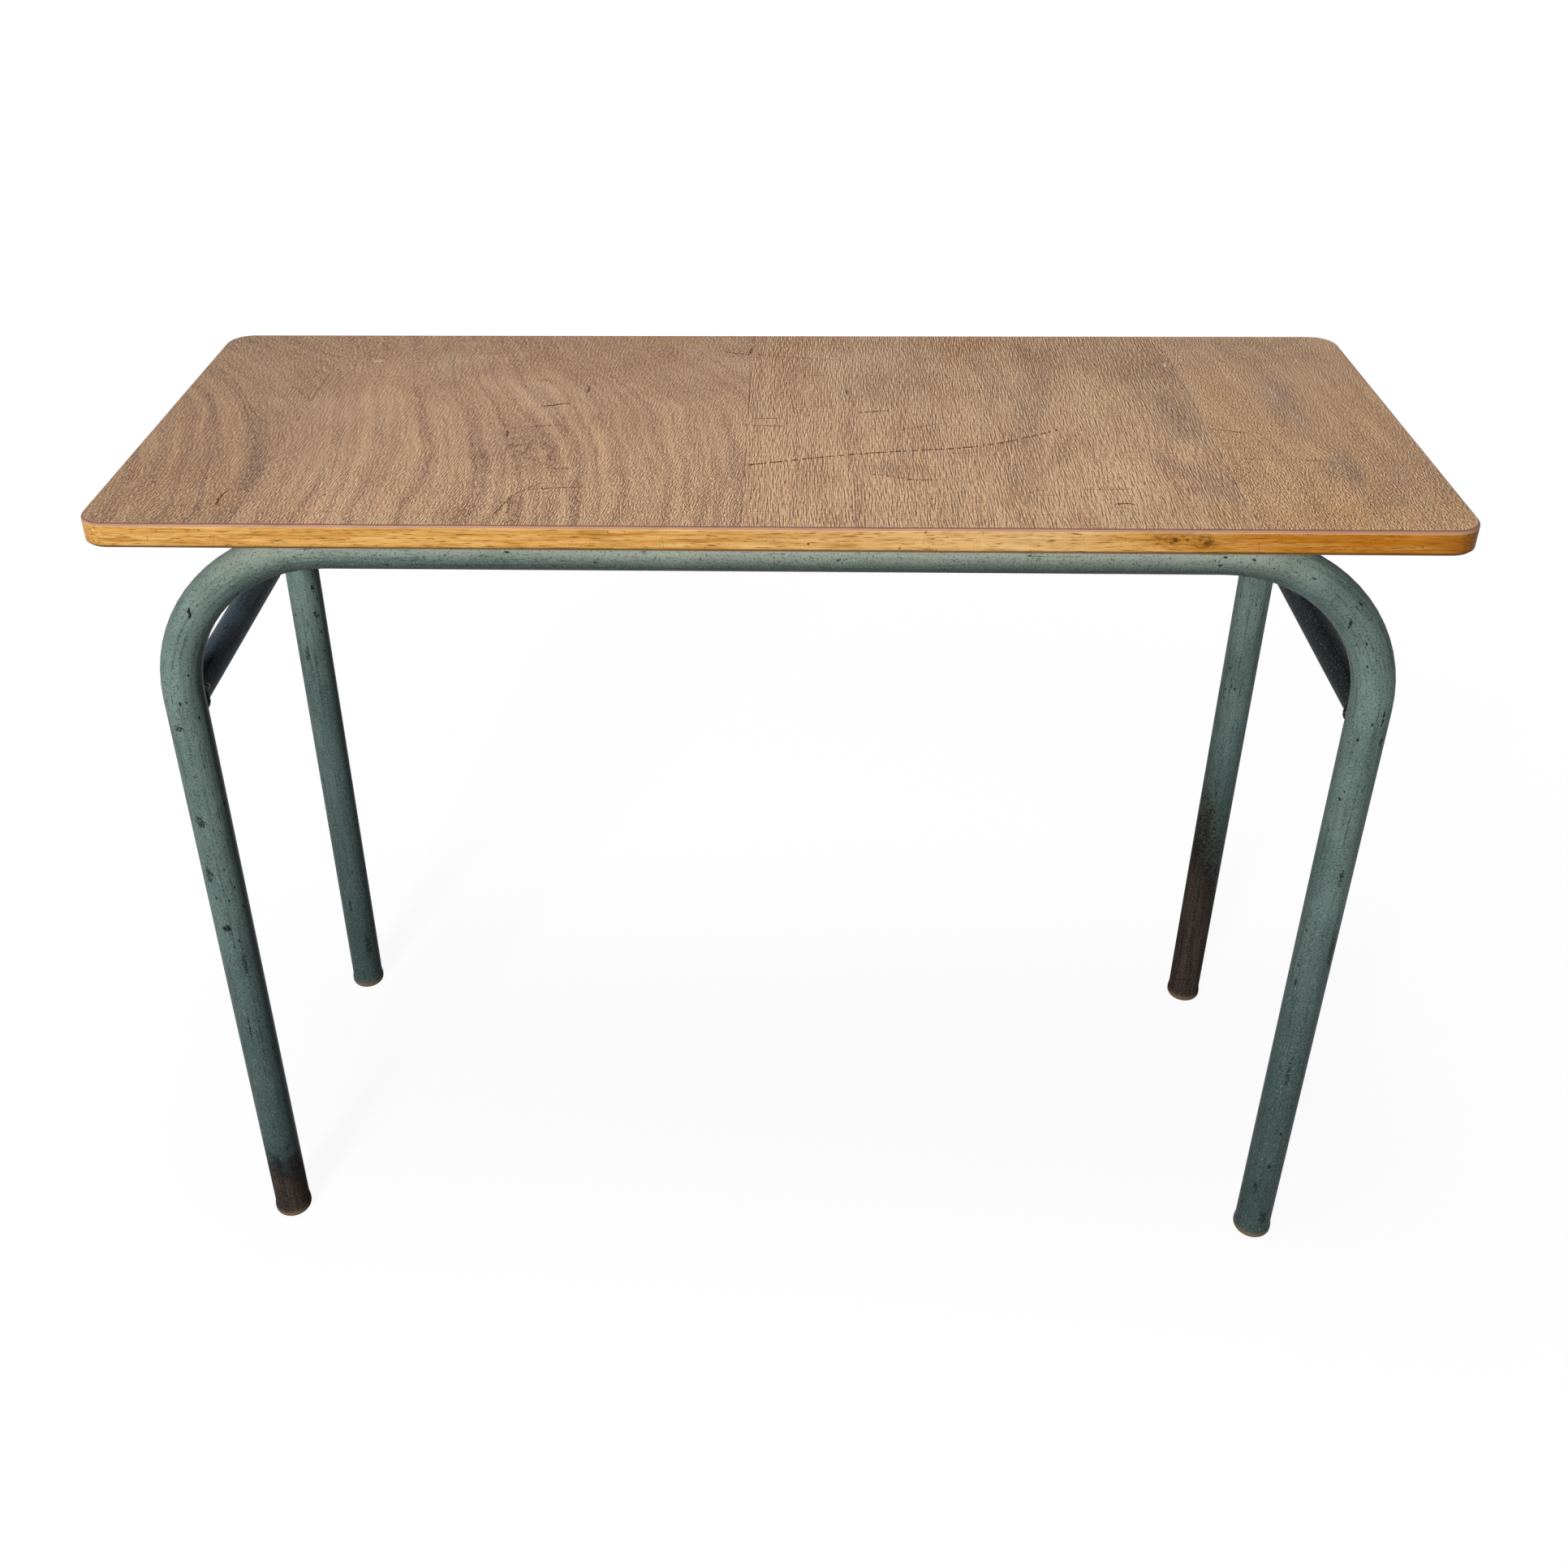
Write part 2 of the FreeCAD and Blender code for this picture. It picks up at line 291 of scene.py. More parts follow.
def scored_line(tree, x, y, shake, points, width, amount=1.0, dashes=0.0, upright=False):
    """Mask of a scratch or crack through points, fading over width millimetres. dashes is the length of
    its breaks, and an upright one runs along Y."""
    if upright:
        x, y = y, x
        points = [(b, a) for a, b in points]
    points = sorted(points)
    start, end = points[0][0], points[-1][0]
    low = min(across for _, across in points) - CURVE_MARGIN_MM
    high = max(across for _, across in points) + CURVE_MARGIN_MM
    shares = [((along - start) / (end - start), (across - low) / (high - low)) for along, across in points]
    along = add(tree, RAMP, x, start, end)
    curve = add(tree, "FloatCurve", 1.0, along, points=shares)
    across = shaken(tree, add(tree, RAMP, curve, 0.0, 1.0, low, high), shake, LINE_SHAKE_MM)
    away = add(tree, "Math ABSOLUTE", add(tree, "Math SUBTRACT", y, across))
    mask = add(tree, STEP, away, width * LINE_CORE_SHARE, width, amount, 0.0)
    begun = add(tree, STEP, x, start, start + LINE_FADE_MM)
    ended = add(tree, STEP, x, end - LINE_FADE_MM, end, 1.0, 0.0)
    mask = add(tree, "Math MULTIPLY", mask, add(tree, "Math MULTIPLY", begun, ended))
    if dashes:
        skip = add(tree, "TexNoise 1D", add(tree, "Math DIVIDE", x, dashes), 1.0, 0.0)
        mask = add(tree, "Math MULTIPLY", mask, add(tree, STEP, skip, 0.38, 0.52))
    return mask


# %% [markdown]
# ## Oak veneer, worn satin
# Four leaves lie side by side, grain from front to rear. The eye sees three things: broad dark bands
# that sweep to the left as they run back (the figure), fine short dashes (the open pores, each with a
# dark hollow and a pale lip, which are the shade and highlight of their relief painted in), and patches
# where hands and water have lifted the varnish. A place is first straightened, so that a band keeps one
# number along its whole run. Photographed wood would be quicker, but could not be cut to each leaf.

# %% The figure and the pores
TOP_FRONT_MM, TOP_REAR_MM, TOP_MM = -200.0, 200.0, 750.0
SWEEP_REACH_MM, REAR_PULL_MM = 200.0, 90.0
EMBOSS_STEP = 0.6
# A pore's dark hollow and pale lip are painted shade and painted highlight; the same two colours also give real
# specks and hairlines
PORE_DIRT_AND_SHADE, PORE_PALE_AND_HIGHLIGHT, CRACK = "5E4130", "E4C6A0", "472C1A"


def straight_grain(tree, x, share, sweeps):
    """Place at which the grain through (x, y) meets the front edge: x + D(share), share being y's share of the
    depth. sweeps gives D in millimetres as curves, one for each of some places along the front, and D is mixed
    between them by a first guess of the place, x + 90 share^2."""
    front = add(tree, "Math MULTIPLY_ADD", add(tree, "Math MULTIPLY", share, share), REAR_PULL_MM, x)
    drift, before = None, None
    for here, points in sweeps:
        shares = [(at, moved / SWEEP_REACH_MM) for at, moved in points]
        curve = add(tree, "FloatCurve", 1.0, share, points=shares)
        swept = add(tree, "Math MULTIPLY", curve, SWEEP_REACH_MM)
        if drift is None:
            drift = swept
        else:
            mixed = add(tree, RAMP, front, before, here)
            drift = add(tree, "Math MULTIPLY_ADD", mixed, add(tree, "Math SUBTRACT", swept, drift), drift)
        before = here
    return add(tree, "Math ADD", x, drift)


def figure_bands(tree, across, bands):
    """Darkness of the bands, each given as its place across the grain, its half width and its strength."""
    dark = None
    for place, half, amount in bands:
        away = add(tree, "Math ABSOLUTE", add(tree, "Math SUBTRACT", across, float(place)))
        band = add(tree, STEP, away, 1.5 * half, 0.2 * half, 0.0, amount)
        dark = band if dark is None else add(tree, "Math MAXIMUM", dark, band)
    return dark


def veneer_pores(tree, x, y, wander, ripple, lean, size, wave, roam):
    """Pore noise and its emboss, the difference to a neighbouring sample, from which each pore's painted shade
    and painted highlight are drawn. Pores follow lines that lean sideways by lean[0] at the front edge and lean[1]
    at the rear: x - lean[0] s - (lean[1] - lean[0]) s^2 / 800 with s the distance from the front edge."""
    s = add(tree, "Math SUBTRACT", y, TOP_FRONT_MM)
    change = (lean[1] - lean[0]) / (2 * (TOP_REAR_MM - TOP_FRONT_MM))
    drift = add(tree, "Math MULTIPLY", s, add(tree, "Math MULTIPLY_ADD", s, change, lean[0]))
    combed = add(tree, "Math SUBTRACT", x, drift)
    combed = add(tree, "Math ADD", combed, add(tree, "Math MULTIPLY", wander, roam))
    combed = add(tree, "Math ADD", combed, add(tree, "Math MULTIPLY", ripple, wave))
    across, along = add(tree, "Math DIVIDE", combed, size[0]), add(tree, "Math DIVIDE", y, size[1])
    here = add(tree, "TexNoise 2D", add(tree, "CombineXYZ", across, along), 1.0, 1.0, 0.5)
    beside = add(tree, "CombineXYZ", add(tree, "Math ADD", across, EMBOSS_STEP), along)
    beside = add(tree, "TexNoise 2D", beside, 1.0, 1.0, 0.5)
    return here, add(tree, "Math SUBTRACT", here, beside)


# %% One leaf's finish
def veneer_finish(
    name, tones, band, bands, sweeps, streaks, lean, pore_size, pore_amount, wave, roam, joints, patches, lines,
    crazed=()
):
    """Worn veneer: tones are its colours at the front, middle and rear, band its dark figure colour. wave and
    roam are how far ripple and wander push the pores, in millimetres."""
    finish, tree, shader, place = start_finish(name, 0.05)
    x, y, z = (add(tree, "SeparateXYZ", place, out=axis) for axis in (0, 1, 2))
    flat = add(tree, "CombineXYZ", x, y)
    wander = mottle(tree, "2D", flat, (70, 110, 1), 2.0)
    cloud = mottle(tree, "2D", flat, (110, 80, 1), 4.0, 0.6, middle=(31, 7, 0))
    ripple = mottle(tree, "2D", flat, (9, 12, 1), 1.0)
    fleck = mottle(tree, "2D", flat, (1.9, 3.4, 1), 2.0, 0.6)

    # Ground colour, then dark and pale bands, fine streaks and patches
    share = add(tree, RAMP, y, TOP_FRONT_MM, TOP_REAR_MM)
    uneven = shaken(tree, share, cloud, 0.22)
    colour = add(tree, "ValToRGB", uneven, stops=[(0.10, tones[0]), (0.52, tones[1]), (0.95, tones[2])])
    across = straight_grain(tree, x, share, sweeps)
    across = shaken(tree, across, wander, 7.0)
    across = shaken(tree, across, ripple, 1.6)
    streak = add(tree, "CombineXYZ", add(tree, "Math DIVIDE", across, 4.0), add(tree, "Math DIVIDE", y, 150.0))
    streak = add(tree, "TexNoise 2D", streak, 1.0, 2.0, 0.6)
    column = add(tree, "CombineXYZ", add(tree, "Math DIVIDE", across, 24.0), add(tree, "Math DIVIDE", y, 85.0))
    column = add(tree, "TexNoise 2D", column, 1.0, 3.0, 0.6)
    clouded = add(tree, STEP, cloud, 0.30, 0.60, 0.8, 1.25)
    dark = add(tree, "Math MULTIPLY", figure_bands(tree, across, bands), clouded)
    dark = add(tree, "Math MULTIPLY", dark, add(tree, RAMP, streak, 0.3, 0.7, 1.0, 0.6))
    colour = add(tree, "Mix RGBA", dark, colour, band)
    colour = tint(tree, colour, band, streak, 0.52, 0.34, streaks)
    colour = tint(tree, colour, "CFAB80", streak, 0.52, 0.70, streaks)
    # Columns of the grain took the varnish and the light differently: some went brown, some a greyed olive
    colour = tint(tree, colour, "8E6449", column, 0.50, 0.32, 0.38)
    colour = tint(tree, colour, "B59C7E", column, 0.52, 0.70, 0.26)
    for centre, radii, turn, code, amount in patches:
        mask = patch(tree, flat, (*centre, 0), (*radii, 1), turn, 0.0, column)
        grained = add(tree, "Math MULTIPLY_ADD", streak, 1.6, fleck)
        grained = add(tree, STEP, grained, 1.05, 1.50, amount * 0.3, amount)
        colour = add(tree, "Mix RGBA", add(tree, "Math MULTIPLY", mask, grained), colour, code)

    # Pores: a dark hollow with a pale lip beside it, the shade and highlight of their relief painted in, weaker
    # and stronger from place to place. Real ones are half a millimetre wide; they are drawn about twice as
    # coarse so that they show
    pores, emboss = veneer_pores(tree, x, y, wander, ripple, lean, pore_size, wave, roam)
    strong = add(tree, STEP, fleck, 0.30, 0.62, 0.45, 1.0)
    pore_hollow_shade = add(tree, STEP, emboss, -0.02, -0.24, 0.0, pore_amount)
    colour = add(tree, "Mix RGBA", add(tree, "Math MULTIPLY", pore_hollow_shade, strong), colour, PORE_DIRT_AND_SHADE)
    pore_lip_highlight = add(tree, STEP, emboss, 0.02, 0.26, 0.0, pore_amount * 0.75)
    colour = add(tree, "Mix RGBA", add(tree, "Math MULTIPLY", pore_lip_highlight, strong), colour, PORE_PALE_AND_HIGHLIGHT)
    # Grain dust: darker and paler specks between the pores
    colour = tint(tree, colour, PORE_DIRT_AND_SHADE, fleck, 0.46, 0.30, 0.32)
    colour = tint(tree, colour, PORE_PALE_AND_HIGHLIGHT, fleck, 0.54, 0.72, 0.23)

    # Hairlines across the grain, where things were dragged along the desk
    drag = mottle(tree, "2D", flat, (26, 0.9, 1), 2.0, turn=(0, 0, 0.03))
    drag = add(tree, "Math MULTIPLY", add(tree, STEP, drag, 0.58, 0.72, 0.0, 0.55), strong)
    colour = add(tree, "Mix RGBA", drag, colour, PORE_DIRT_AND_SHADE)

    # Dirt in small pits of about a millimetre
    pit = scattered(tree, flat, 10.0, 0.13, 0.06, 0.62, 0.72)
    colour = add(tree, "Mix RGBA", add(tree, "Math MULTIPLY", pit, 0.8), colour, CRACK)

    # Joints with the next leaves, single scratches and cracks, and nets of fine cracks
    scored = add(tree, "Math MULTIPLY", pit, 0.5)
    for joint in joints:
        away = add(tree, "Math ABSOLUTE", add(tree, "Math SUBTRACT", x, joint))
        seam = add(tree, STEP, away, 0.2, 0.7, 0.6, 0.0)
        seam = add(tree, "Math MULTIPLY", seam, add(tree, STEP, wander, 0.44, 0.62))
        scored = add(tree, "Math MAXIMUM", scored, seam)
    for line in lines:
        scored = add(tree, "Math MAXIMUM", scored, scored_line(tree, x, y, fleck, *line))
    for centre, radii, cell in crazed:
        bent = add(tree, "Mapping TEXTURE", flat, None, (0, 0, 0.5), (cell, cell * 0.7, 1))
        bent = add(tree, "VectorMath ADD", bent, add(tree, "CombineXYZ", ripple, fleck))
        away = add(tree, "TexVoronoi DISTANCE_TO_EDGE", bent, 1.0)
        crack = add(tree, STEP, away, 0.015, 0.045, 0.55, 0.0)
        crack = add(tree, "Math MULTIPLY", crack, patch(tree, flat, (*centre, 0), (*radii, 1)))
        scored = add(tree, "Math MAXIMUM", scored, add(tree, "Math MULTIPLY", crack, strong))
    colour = add(tree, "Mix RGBA", scored, colour, CRACK)

    # The rounded edge is rubbed to a dusty mauve
    rim = add(tree, STEP, z, TOP_MM - 0.45, TOP_MM - 0.06, 0.9, 0.0)
    colour = add(tree, "Mix RGBA", rim, colour, "75544A")
    height = add(tree, "Math SUBTRACT", pores, scored)
    roughness = add(tree, RAMP, cloud, *NOISE_RANGE, 0.42, 0.60)
    finish_surface(tree, shader, colour, height, 0.22, roughness)
    return finish


# %% [markdown]
# ## What is where on the top
# Each leaf has its own colours and its own marks. The lists hold real places in millimetres from the
# middle of the top, with sizes and a colour. They read like a condition report of the desk: a band is its
# place, half width and strength, a patch its centre, radii, turn, colour and strength, and a line its
# points and width, and where they matter its strength, the length of its dashes and whether it is upright.

# %% Four leaves
JOINTS = (-386.0, -20.0, 344.0)
leaf_looks = {}
leaf_looks["face_veneer_leaf_1"] = dict(
    tones=("906D52", "A27F62", "8A6953"), band="6F5347", streaks=0.30, lean=(0.12, 0.12),
    sweeps=[
        (
            -450,
            [(0, 0), (0.12, 0), (0.25, 8), (0.4, 24), (0.55, 44), (0.67, 72), (0.76, 98), (0.87, 142), (1, 195)]
        ),
    ],
    bands=[
        (-480, 7, 0.6), (-460, 6, 0.5), (-440, 6, 0.6), (-422, 6, 0.8), (-388, 11, 0.95), (-366, 6, 0.7),
        (-348, 6, 0.7), (-331, 6, 0.8), (-314, 6, 0.7), (-298, 6, 0.8), (-281, 6, 0.7), (-262, 7, 0.7),
        (-240, 8, 0.6),
    ],
    pore_size=(1.1, 4.6), pore_amount=1.0, wave=0.2, roam=3.0, joints=JOINTS[:1],
    patches=[
        ((-455, 120), (70, 110), 10, "8B6D60", 0.5), ((-396, -112), (9, 34), 4, "6F6058", 0.8),
        ((-485, -10), (18, 110), 0, "8F6E5B", 0.6), ((-430, -150), (70, 50), 0, "AD8C68", 0.4),
        ((-430, -25), (7, 50), 8, "BE9F74", 0.5),
    ],
    lines=[
        ([(-452, -172), (-432, -170), (-402, -166)], 0.8, 0.5),
        ([(-402, -170), (-405, -156), (-402, -143)], 1.0, 1.0, 0.0, True),
    ],
)
leaf_looks["face_veneer_leaf_2"] = dict(
    tones=("C0997A", "BC9779", "8B6853"), band="7D5A4B", streaks=0.30, lean=(0.12, 0.36),
    sweeps=[
        (-290, [(0, 0), (0.3, 3), (0.45, 10), (0.57, 20), (0.72, 32), (0.94, 45), (1, 48)]),
        (-190, [(0, 0), (0.25, 5), (0.4, 20), (0.5, 38), (0.6, 56), (0.75, 78), (1, 102)]),
        (-60, [(0, 0), (0.3, 4), (0.44, 12), (0.57, 24), (0.67, 44), (0.77, 72), (0.85, 96), (1, 130)]),
    ],
    bands=[
        (-384, 5, 0.4), (-364, 5, 0.6), (-352, 3, 0.4), (-340, 5, 0.75), (-323, 4, 0.45), (-303, 6, 0.7),
        (-290, 4, 0.4), (-262, 7, 0.85), (-247, 4, 0.3), (-234, 5, 0.4), (-218, 9, 0.9), (-200, 5, 0.5),
        (-184, 6, 0.8), (-172, 4, 0.5), (-160, 6, 0.75), (-142, 5, 0.8), (-128, 4, 0.45), (-110, 5, 0.6),
        (-98, 3, 0.4), (-88, 4, 0.5), (-75, 5, 0.6), (-62, 3, 0.4), (-50, 4, 0.6), (-38, 5, 0.55), (-22, 6, 0.6),
        (-5, 5, 0.5), (12, 6, 0.4), (36, 7, 0.5), (66, 9, 0.5), (100, 12, 0.5),
    ],
    pore_size=(1.1, 4.6), pore_amount=1.2, wave=0.25, roam=4.0, joints=JOINTS[:2],
    patches=[
        ((-351, -60), (5, 6), 0, "55402F", 1.0), ((-307, -19), (3, 5), 0, "55402F", 1.0),
        ((-385, 162), (6, 4), 0, "6B4F44", 0.9), ((-349, 131), (6, 4), 20, "EBD9BC", 1.3),
        ((-126, 83), (3, 7), 0, "4F3A2B", 1.0), ((-205, -50), (45, 60), 30, "86685C", 0.55),
        ((-60, 80), (50, 60), 0, "8F7060", 0.5), ((-160, 180), (6, 20), 20, "74492F", 0.7),
        ((-90, 180), (60, 20), 0, "93703F", 0.5), ((-28, -110), (8, 60), 4, "7F6658", 0.6),
        ((-330, 60), (30, 70), 0, "BB9A72", 0.4), ((-388, -40), (62, 520), 0, "8A6B56", 0.85),
    ],
    lines=[
        ([(-198, -183), (-193, -163), (-188, -148), (-180, -137), (-168, -125)], 1.2, 0.75, 0.0, True),
        ([(-181, -140), (-160, -136), (-141, -134)], 1.0, 0.8),
        ([(-189, -183), (-189, -166), (-191, -152)], 1.0, 0.7, 0.0, True),
        ([(-191, 26), (-183, 27), (-177, 30), (-166, 32)], 1.4),
        ([(-157, 74), (-156, 62), (-158, 54)], 1.0, 1.0, 0.0, True),
        ([(-211, -30), (-203, -20), (-190, -18), (-167, -14)], 1.1, 1.0, 2.5),
        ([(-210, -40), (-211, -26)], 1.1, 1.0, 0.0, True),
        ([(-193, -80), (-183, -84), (-175, -94), (-167, -100), (-151, -100)], 1.0, 1.0, 3.0),
        ([(-46, 156), (-32, 151), (-20, 148)], 0.9), ([(-21, 168), (-22, 148)], 1.0, 1.0, 0.0, True),
    ],
    crazed=[((-190, -60), (75, 75), 17.0), ((-150, 10), (40, 30), 12.0)],
)
leaf_looks["face_veneer_leaf_3"] = dict(
    tones=("C39C7A", "B99779", "9A785E"), band="86644F", streaks=0.40, lean=(0.0, 0.03),
    sweeps=[(0, [(0, 0), (1, 0)])],
    bands=[
        (-12, 7, 0.3), (20, 6, 0.3), (62, 4, 0.6), (104, 6, 0.3), (128, 9, 0.3), (182, 8, 0.4), (300, 7, 0.3),
        (336, 9, 0.5),
    ],
    pore_size=(1.2, 13.0), pore_amount=1.1, wave=0.5, roam=3.0, joints=JOINTS[1:],
    patches=[
        ((221, 166), (9, 42), 0, "6E4A2C", 0.95), ((216, 55), (22, 160), -11, "826A5A", 0.8),
        ((92, 92), (56, 84), 0, "8A7260", 0.7), ((262, 60), (36, 90), 0, "BFA57E", 0.8),
        ((166, -8), (34, 70), -8, "C2A386", 0.6), ((324, 15), (34, 120), 0, "7C6858", 0.95),
        ((328, -128), (26, 46), 0, "80635A", 0.8), ((306, -88), (18, 62), 38, "846C5E", 0.7),
        ((188, -112), (22, 60), 0, "836858", 0.7), ((213, -84), (14, 84), -22, "866C5C", 0.6),
        ((258, -125), (42, 84), 0, "CFB08A", 0.9), ((90, -98), (42, 20), 0, "765D4E", 0.7),
        ((175, 178), (80, 40), 0, "926742", 0.7), ((62, 60), (4, 8), 0, "4F3828", 1.1),
        ((59, -166), (3, 12), 0, "4F3828", 1.0), ((337, 125), (4, 5), 0, "EADCC6", 0.8),
        ((70, 178), (80, 22), 0, "93714E", 0.5), ((20, -60), (26, 130), 0, "C2A182", 0.4),
        ((315, -172), (60, 24), 0, "A87F4E", 0.6), ((310, 115), (44, 60), 0, "806C5E", 0.7),
    ],
    lines=[
        (
            [
                (-20, -93), (24, -81), (52, -74), (86, -67), (120, -62), (146, -58), (173, -50), (201, -36),
                (229, -19),
            ],
            1.5, 1.0, 4.0
        ),
        ([(-21, 150), (11, 143), (61, 135)], 0.9, 0.6), ([(69, 13), (81, 16), (96, 18)], 1.4, 1.0, 2.2),
        ([(247, -161), (256, -158), (264, -160)], 1.1), ([(-18, 0), (0, 1), (10, 2)], 1.0, 0.7),
        ([(-18, -14), (0, -15), (12, -14)], 1.0, 0.7), ([(227, -134), (257, -133), (269, -131)], 0.9, 0.5),
        ([(75, -108), (90, -112), (108, -118), (126, -118)], 1.2, 1.0, 3.0),
        ([(100, -24), (122, -14), (140, -6)], 0.9, 0.5),
    ],
)
leaf_looks["face_veneer_leaf_4"] = dict(
    tones=("C09468", "B8916D", "AD8A70"), band="85624C", streaks=0.34, lean=(0.0, -0.06),
    sweeps=[(400, [(0, 0), (0.25, 3), (0.5, 11), (0.75, 25), (1, 45)])],
    bands=[(352, 5, 0.3), (398, 6, 0.3), (436, 8, 0.35), (452, 5, 0.3), (470, 9, 0.4), (500, 12, 0.4)],
    pore_size=(1.15, 4.0), pore_amount=1.3, wave=0.5, roam=4.0, joints=JOINTS[2:],
    patches=[
        ((372, 40), (26, 150), 0, "BC9970", 0.5), ((415, 45), (30, 92), 8, "775F54", 1.0),
        ((413, 60), (5, 34), 6, "AFA8A6", 0.8), ((420, 8), (4, 36), 6, "AFA8A6", 0.7),
        ((429, -96), (23, 60), 4, "745C52", 1.0), ((427, -84), (5, 22), 4, "A69C9A", 0.6),
        ((470, -100), (34, 90), 0, "846A5C", 0.6), ((465, 150), (26, 30), 0, "896A62", 0.5),
        ((400, -176), (76, 24), 0, "A67A44", 0.75), ((400, 182), (90, 24), 0, "8B6B52", 0.8),
        ((370, -40), (24, 50), 0, "9A7048", 0.5), ((368, 60), (20, 24), 0, "A0744C", 0.6),
        ((440, -158), (46, 10), 0, "8C6440", 0.6), ((488, -60), (16, 120), 0, "8A6C54", 0.6),
        ((395, 165), (12, 40), 14, "7E6A60", 0.5),
    ],
    lines=[([(345, -17), (356, -21), (376, -27)], 0.9), ([(352, -75), (380, -78), (420, -80)], 0.8, 0.5)],
)
for node_name, look in leaf_looks.items():
    give_finish(veneer_finish("satin_oak_veneer_" + node_name[-1], **look), node_name)

# %% [markdown]
# ## Lippings: varnished beech
# The solid edge strips are yellowed by old varnish. Their grain runs along each strip, so the front and
# rear strips have one finish and the end strips have it turned by a quarter. Height on the strip gives
# the dusty pink rounding above with a painted highlight line, and a dark line along the lower edge.

# %% Lipping finish
# Lines along a strip: the heights where each begins and is full, its strength and its colour. The first
# three are a pale line, painted as a highlight, and mauve dust on the rounding above, the last is a dark line
# along the lower edge
EDGE_LINES = (
    (746.4, 747.0, 0.5, "F0C48E"), (747.2, 747.8, 0.85, "A67E6E"),
    (748.6, 749.1, 0.85, "75503F"), (733.4, 731.6, 0.85, "5A3818"),
)
LIPPING_KNOTS = (((281, -200, 742), (28, 40, 9)), ((304, -200, 740), (20, 40, 8)))


def lipping_finish(name, turn):
    """Beech under amber varnish; turn is the way of its grain in degrees from +X."""
    finish, tree, shader, place = start_finish(name, 0.04)
    turned_place = add(tree, "Mapping TEXTURE", place, None, (0, 0, math.radians(turn)), (1, 1, 1))
    x, z = add(tree, "SeparateXYZ", place, out=0), add(tree, "SeparateXYZ", place, out=2)
    streak = mottle(tree, "3D", turned_place, (48, 1.7, 1.7), 4.0, 0.65)
    hair = mottle(tree, "3D", turned_place, (12, 0.9, 0.9), 2.0, 0.6)
    cloud = mottle(tree, "3D", turned_place, (46, 14, 10), 3.0, 0.6)
    colour = add(
        tree, "ValToRGB", streak, stops=[(0.30, "A26822"), (0.43, "CE9343"), (0.58, "E6AF60"), (0.74, "F2C88C")]
    )
    # It is palest in the middle of the strip
    pale = add(tree, STEP, x, -120.0, 190.0, 0.05, 0.52)
    pale = add(tree, "Math MULTIPLY", pale, add(tree, STEP, x, 270.0, 190.0))
    colour = add(tree, "Mix RGBA", pale, colour, "F4CC92")
    # The right third has darkened to orange
    orange = add(tree, STEP, x, 215.0, 420.0, 0.0, 0.86)
    orange = add(tree, "Math MULTIPLY", orange, add(tree, STEP, streak, 0.75, 0.30, 0.75, 1.0))
    colour = add(tree, "Mix RGBA", orange, colour, "BC7010")
    colour = tint(tree, colour, "7A4215", x, 452.0, 500.0, 0.6)
    colour = tint(tree, colour, "7F4E18", hair, 0.47, 0.29, 0.88)
    colour = tint(tree, colour, "A3661C", cloud, 0.56, 0.74, 0.55)
    # Short ticks across the strip, dings, and two dark knots on the front strip
    tick = mottle(tree, "3D", turned_place, (1.1, 60, 7), 1.0)
    tick = add(tree, STEP, tick, 0.70, 0.78, 0.0, 0.5)
    ding = scattered(tree, place, 15.0, 0.09, 0.035, 0.50, 0.60)
    grit = mottle(tree, "3D", turned_place, (4.5, 2.4, 2.4), 3.0, 0.6)
    knots = [patch(tree, place, centre, radii, 0.0, 0.0) for centre, radii in LIPPING_KNOTS]
    knot = add(tree, "Math MAXIMUM", *knots)
    colour = add(tree, "Mix RGBA", add(tree, "Math MULTIPLY", knot, 0.6), colour, "B0701F")
    knot = add(tree, "Math MULTIPLY", knot, add(tree, STEP, grit, 0.58, 0.36, 0.0, 1.1))
    dark = add(tree, "Math MAXIMUM", add(tree, "Math MAXIMUM", tick, ding), knot)
    colour = add(tree, "Mix RGBA", add(tree, "Math MULTIPLY", dark, 0.85), colour, "54330F")
    level = shaken(tree, z, cloud, 0.3)
    for begins, full, amount, code in EDGE_LINES:
        colour = tint(tree, colour, code, level, begins, full, amount)
    height = add(tree, "Math SUBTRACT", add(tree, "Math MULTIPLY", hair, 0.5), dark)
    finish_surface(tree, shader, colour, height, 0.2, add(tree, RAMP, cloud, *NOISE_RANGE, 0.30, 0.46))
    return finish


give_finish(lipping_finish("amber_beech_long", 0.0), "front_lipping", "rear_lipping")
give_finish(lipping_finish("amber_beech_ends", 90.0), "left_lipping", "right_lipping")

# %% [markdown]
# ## Underside and core
# The sheet below keeps the top from warping and was never varnished: pale, dry and dusty, with the same
# long grain. The core shows only in the screw holes, and has its laminations all the same.

# %% Backing veneer and core
def raw_wood_finish(name, tones, size):
    """Unvarnished wood: size is the grain in millimetres along X, Y and Z."""
    finish, tree, shader, place = start_finish(name, 0.2)
    streak = mottle(tree, "3D", place, size, 4.0, 0.62)
    stain = mottle(tree, "3D", place, (110, 90, 60), 4.0, 0.6)
    colour = add(tree, "ValToRGB", streak, stops=[(0.30, tones[0]), (0.5, tones[1]), (0.70, tones[2])])
    colour = tint(tree, colour, "6F533C", stain, 0.50, 0.72, 0.6)
    finish_surface(tree, shader, colour, streak, 0.3, add(tree, RAMP, stain, *NOISE_RANGE, 0.68, 0.85))
    return finish


backing_veneer = raw_wood_finish("dry_backing_veneer", ("8A6A4D", "A78665", "BD9D7A"), (2.2, 34, 20))
core_board = raw_wood_finish("laminated_core_board", ("9A7648", "BC9763", "CFAE7C"), (60, 60, 2.4))
give_finish(backing_veneer, "underside_veneer")
give_finish(core_board, "top_core_panel")

